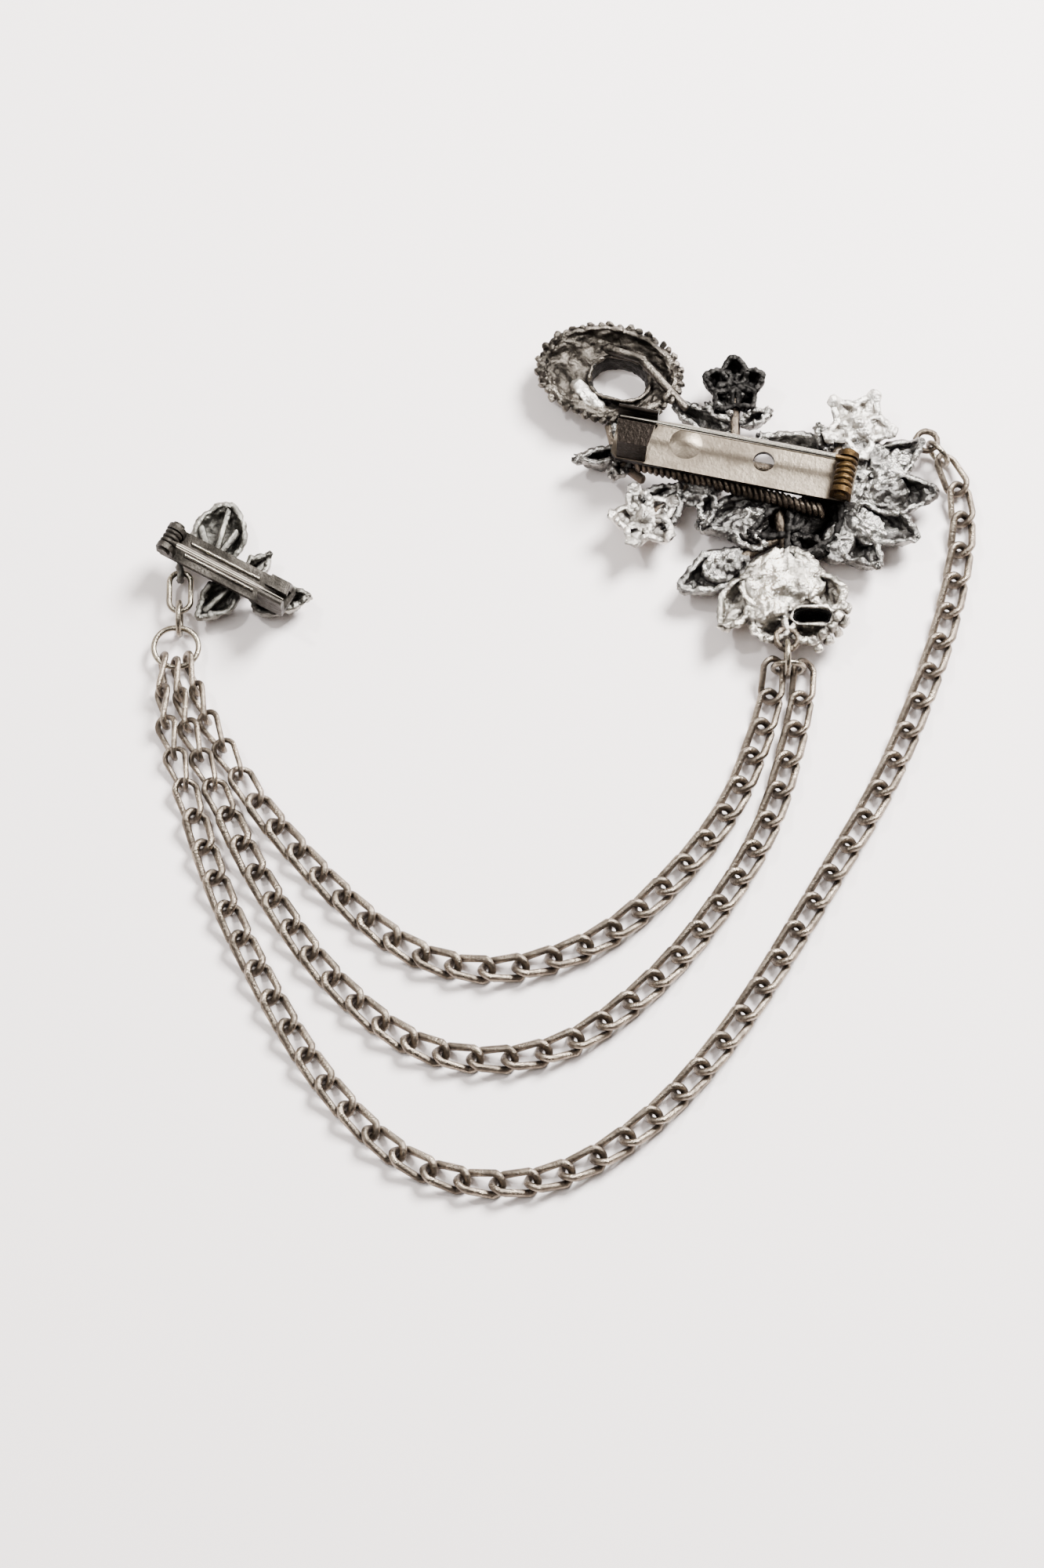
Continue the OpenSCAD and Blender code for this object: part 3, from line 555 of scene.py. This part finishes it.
def rod(a, b, z, d):
    """A cast rod with round ends between two places."""
    run = Vector((b[0] - a[0], b[1] - a[1], 0))
    deselect()
    bpy.ops.mesh.primitive_uv_sphere_add(segments=12, ring_count=8, radius=d / 2 * MM, rotation=(0, math.pi / 2, 0))
    bar = bpy.context.object
    bpy.ops.object.transform_apply(location=False, rotation=True)
    pick(bar, lambda p: p.x > 0.01 * d)
    bpy.ops.transform.translate(value=(run.length * MM, 0, 0))
    bpy.ops.object.mode_set(mode="OBJECT")
    return put(bar, [frame_at(Vector((a[0], a[1], z)), run)])


leaf = cup(2 * loop_l, 2 * loop_w, 3.6, 0.9, 0.97, 0, 3)
leaf.data.transform(Matrix.Translation((-loop_l * MM, 0, 0)))
punch = oval_tube(window_at, window_r, window_flat, 4 * rim_z, 40)
modify(leaf, "BOOLEAN", object=punch, operation="DIFFERENCE", solver="EXACT")
bpy.data.objects.remove(punch)
loop = turned(loop_at, loop_turn)
# The window's wall is painted black for the shade inside the window, and runs from the rim down to the front of the
# leaf
wall = oval_wall(window_at + 2.8 * down, window_r, window_flat, 3.2, 40, (0.88, 0.8, 1))
finish(roughen(join("window_lining", put(wall, [loop])), 0.5), blackened_and_shade, ["big_spray"])
edges = []
for turn in range(0, 360, 8):
    wave = 0.96 if turn % 16 else 0.99
    edges.append(loop @ Matrix.Translation((
        wave * loop_l * math.cos(math.radians(turn)), wave * loop_w * math.sin(math.radians(turn)), -0.4
    )))
looped = put(leaf, [loop]) + put(ball(1.2), edges) + put(
    wire_oval("window_rim", 0.9 * loop_l, 0.98 * loop_w, 0.6, 0, 48, 8),
    [loop @ Matrix.Translation(window_at + 1.2 * down)],
)
looped += rod((6.6, 59.2), (11.4, 57.4), rim_z - 0.1, 1.2) + rod((11.4, 57.4), (17.3, 50.2), rim_z - 0.2, 1.2)
# Browner than the rest and blotched dark, as if the plate had hardly taken here
mottled = antiqued("mottled_white_metal", "#857d73", "#0a0806", 0.6, 0.26, 1, 1, 5)
finish(roughen(join("looped_leaf", looped), 0.8, 2), mottled, ["big_spray"])
# The sprue's stump is bright metal left in the hollow where the casting was broken off its runner
stump = put(ball(7.4, (1, 0.38, 0.34), 2), [turned((3.8, 52.4, 3), -50)])
finish(roughen(join("sprue_stump", stump), 0.8, 1.4), frosted, ["big_spray"])


# Leaves and stems of the large brooch. The leaves are cupped and veined; a thick cast rod under the plate carries
# the pin back, and the two beside it are milled like rope. Two cast eyelets take the rings.
leaf_l, stem_d, stem_z, thin_d, thin_z = 12, 2.4, 5.3, 1.6, 3.9


def rope(a, b, z, d, pitch=0.85):
    """A rod milled like rope: one slanting lump repeated close along it."""
    run = Vector((b[0] - a[0], b[1] - a[1], 0))
    start, step = Vector((a[0], a[1], z)), run.normalized() * pitch * d / 2.4
    slant = Matrix.Rotation(math.radians(38), 4, "Z")
    count = int(run.length / step.length) + 1
    return put(ball(d, (0.42, 1.05, 0.95)), [frame_at(start + step * i, run) @ slant for i in range(count)])


# x, y, direction, then length and width as shares of leaf_l: small leaves along the stems, then the broad ones
leaves = [
    (17, 37.8, 195, 0.55, 0.26), (16, 36.8, 255, 0.5, 0.24), (20.5, 37.6, 265, 0.5, 0.24),
    (28.6, 29, 160, 0.5, 0.24), (24, 48.5, 145, 0.4, 0.22), (25, 47.5, 30, 0.45, 0.22),
    (37.5, 43.5, 110, 0.4, 0.22), (39, 42.5, 15, 0.45, 0.24), (9.5, 45, 120, 0.4, 0.22),
    (10, 43, 225, 0.42, 0.22), (13, 35.5, 20, 0.5, 0.24), (23.5, 50.5, 60, 0.35, 0.2),
    (41, 38.6, 35, 1, 0.54), (41.5, 36.6, 5, 0.95, 0.56), (40.5, 35, -26, 0.88, 0.56),
    (38, 33, -48, 0.8, 0.54), (29.5, 35.8, 199, 0.97, 0.54), (26, 28, 208, 0.95, 0.56),
    (9.5, 43.8, 190, 0.68, 0.24), (24, 46, 148, 0.84, 0.36), (38.8, 43.2, 166, 1, 0.42),
]
# Where the metal filled the hollows between the leaves: x, y, direction
filled = [
    (43, 42.5, 30), (45, 37.5, 0), (42, 32.5, -40), (40.5, 38, 80), (25.5, 33, 200), (22.5, 26.5, 215),
    (19, 38, 190), (41.5, 44.3, 0), (38.5, 30, 250), (46, 41.5, 20),
]
# Leaves in the hollow between the rose and the pin back, painted black as the shade that lies there: x, y, direction,
# length and width
dark_leaves = [(38, 37, 237, 1, 0.66), (34.5, 34.5, 203, 0.8, 0.42), (31.8, 30.5, -25, 0.5, 0.26)]
bars = rod((9, 44.2), (38.5, 38), stem_z, stem_d)
thin_stems = [
    ((9, 44.2), (8.5, 49.6)), ((24.2, 37.8), (24.4, 52)), ((35, 39), (41.1, 46.6)), ((18, 39), (12.4, 34)),
    ((30, 36), (31.6, 25.5)), ((30.8, 31), (25, 27.6)), ((6.9, 47.6), (7.9, 42.6)), ((7.9, 42.6), (11, 39.8)),
]
ropes = [((10.5, 41.2), (24.5, 37.6)), ((24.5, 37.6), (36, 34))]
# White metal gone grey: glittering grain beside nearly black hollows
greyed = antiqued("greyed_white_metal", "#c2beb8", "#0b0908", 0.7, 0.2, 1, 0.8, 3)
# Each leaf lies a hair lower than the one before, so that no two rims share a plane
for name, group, fill, skin in (
    ("leaves", leaves, filled, greyed), ("dark_leaves", dark_leaves, [(34, 33.5, 205)], blackened_and_shade),
):
    parts = put(ball(7.4, (1, 0.7, 0.34), 2), [turned((x, y, rim_z - 1.3), turn) for x, y, turn in fill])
    for i, (x, y, turn, length, width) in enumerate(group):
        blade = cup(length * leaf_l, width * leaf_l, 3.5, 0.8, 0.84, 1.1)
        parts += put(blade, [turned((x, y, rim_z - 0.04 * (i + 1)), turn)])
    finish(roughen(join(name, parts), 1, 2.4), skin, ["big_spray"])
for i, (a, b) in enumerate(thin_stems):
    bars += rod(a, b, thin_z - 0.07 * i, thin_d)
for a, b in ropes:
    bars += rope(a, b, stem_z - 0.1, stem_d)
ear = 2 * eyelet_r + eyelet_wire
bars += put(
    wire_oval("eyelet", ear, ear, eyelet_wire, 0, 24, 8),
    [Matrix.Translation(eyelet - whole_middle) for eyelet in (side_eyelet, lower_eyelet)],
)
# White metal with brown film left by the bath, rubbed a little on its ridges
browned = antiqued("browned_white_metal", "#7b6f62", "#120d09", 0.6, 0.28, 1, 0.8, 1.6)
finish(roughen(join("stems", bars), 0.45), browned, ["big_spray"])


# Small brooch: a ribbed fan petal, four leaves and a stem in one casting, greyer and finer than the large
# one, with an upright eyelet for the oval link.
fan_l, small_rim, rib_d, small_stem_d, small_stem_z = 9.6, 3.6, 1.0, 2.0, 3.68
small_leaves = [
    (-48.6, 26.8, 77, 1, 0.84), (-40.5, 21.6, 4, 0.62, 0.44), (-44, 24.6, 48, 0.57, 0.38),
    (-45, 24.6, 228, 0.86, 0.56), (-43, 22.4, -38, 0.52, 0.34),
]
small_ribs = [
    ((-48.3, 27.3), (-46.3, 35)), ((-48.5, 27.2), (-50.2, 32.6)), ((-48.2, 27.4), (-45.3, 31.6)),
    ((-44.9, 23.4), (-41.1, 27.3)), ((-45.6, 24), (-49.3, 20.1)), ((-43, 22.8), (-40, 20.4)),
]
parts = []
for i, (x, y, turn, length, width) in enumerate(small_leaves):
    blade = cup(length * fan_l, width * fan_l, small_rim - 0.5, 0.7, 0.95 if i == 0 else 0.8, 0.4)
    parts += put(blade, [turned((x, y, small_rim - 0.04 * i), turn)])
for i, (a, b) in enumerate(small_ribs):
    parts += rod(a, b, small_rim - 0.65 - 0.07 * i, rib_d)
parts += rod((-54, 28.9), (-39.4, 21), small_stem_z, small_stem_d)
parts += put(wire_oval("eyelet", ear, ear, eyelet_wire, 0, 24, 8), [frame_at(small_eyelet, Vector((0, 1, 0)), 90)])
# Ash-grey white metal, fine grained, dark between the ribs
ashen = antiqued("ashen_white_metal", "#aaa79e", "#14110e", 0.5, 0.3, 1, 0.85, 2)
finish(roughen(join("small_casting", parts), 0.9, 1.7), ashen, ["small_spray"])


# Pin backs. Both plates are stamped from sheet steel with the catch and hinge ears folded up, and plated thin, so
# that they look warm and satin; the large catch is painted near black for the dark it mirrors, and its hinge shows
# brassy where the plating wore.
# Two rope-like lines were rolled along the small plate.
small_plate_at, small_turn = Vector((-46.3, 25, 0)), 151
# Above fold_z over its underside a plate is catch or ears; the others are their lengths from the plate's ends
fold_z, catch_share, ears_l, coil_l = 0.85, 0.86, 4, 3.4
line_side, line_ends, line_z, line_d = 0.95, (-4.6, 6.2), 5.6, 0.7


def by_node(name):
    """The solid of that name from the fixed frame."""
    return next(o for o in bpy.data.objects if o.type == "MESH" and o.name == name)


# Thin plate over sheet steel, satin from the tumbling barrel: warm grey with cloudy wear
satin = antiqued("satin_plated_steel", "#786e61", "#2c241d", 0.6, 0.38, 0.2, 0.5, 1.6)
# The small pin back's steel without its shine: mid grey and blotched
greyed_steel = antiqued("greyed_steel", "#48443f", "#12100d", 0.5, 0.42, 0.8, 0.8, 1.6)
# Steel painted nearly black: at the large catch as a painted reflection of dark surroundings, along the sheared edges
# as painted shade in the gaps beside them
painted_shade_steel = antiqued("steel_painted_dark_as_shade", "#1d1916", "#0a0806", 0.6, 0.3, 0.3, 0.6, 1)
# Brass that shows where the plate wore off the hinge, with brown dirt and painted shade between its coils
worn_brass = antiqued("worn_brass", "#5f4a2e", "#140d07", 0.4, 0.34, 0.6, 0.85, 1)
# Hard-drawn spring wire, smooth and bright
bright_wire = antiqued("drawn_steel_wire", "#cdc7ba", "#4d4439", 0.3, 0.2, 0.15, 0.35, 1)
# The catch stands at the plate's far end from the hinge; the ears and coil of the hinge at the other. The plate's
# sheared edges take the catch's black as painted shade. Each brooch's row has its plate's middle, direction, length
# and width, then the metals of its plate, catch and hinge.
for brooch, middle, turn, length, width, plate, catch, hinge in (
    ("big", (24, 41, 0), -12, 34, 6.6, satin, painted_shade_steel, worn_brass),
    ("small", small_plate_at, small_turn, 20, 4.4, greyed_steel, greyed_steel, greyed_steel),
):
    middle = Vector(middle) - whole_middle
    back = Matrix.Rotation(math.radians(-turn), 3, "Z")
    for node, skins in ("_bar", (plate, hinge, catch)), ("_stem", (bright_wire, hinge)), ("_rivet", (hinge,)):
        metal = by_node(brooch + node)
        metal.data.materials.clear()
        for skin in skins:
            metal.data.materials.append(skin)
        low = min(v.co.z for v in metal.data.vertices) / MM
        for face in metal.data.polygons:
            at = back @ (face.center / MM - middle)
            folded, sheared = at.z > low + fold_z, at.z < low + fold_z and abs(face.normal.z) < 0.3
            face.material_index = 0
            # Catch faces: painted near black as a reflection of dark surroundings
            if node == "_bar" and folded and at.x < -length / 2 + catch_share * width:
                face.material_index = 2
            elif node == "_bar" and folded and at.x > length / 2 - ears_l:
                face.material_index = 1
            # Sheared edges: painted shade from the gaps beside the plate
            elif node == "_bar" and sheared:
                face.material_index = 2
            elif node == "_stem" and at.x > length / 2 - coil_l:
                face.material_index = 1
small_axis = Matrix.Rotation(math.radians(small_turn), 3, "Z") @ Vector((1, 0, 0))
across = Vector((-small_axis.y, small_axis.x, 0))
lines = []
for side in (-line_side, line_side):
    near, far = (small_plate_at + side * across + end * small_axis for end in line_ends)
    lines += rope(near, far, line_z, line_d)
# The rolled lines are the plate's steel, coloured as the bright wire for a painted highlight
finish(roughen(join("plate_lines", lines), 0.1), bright_wire)
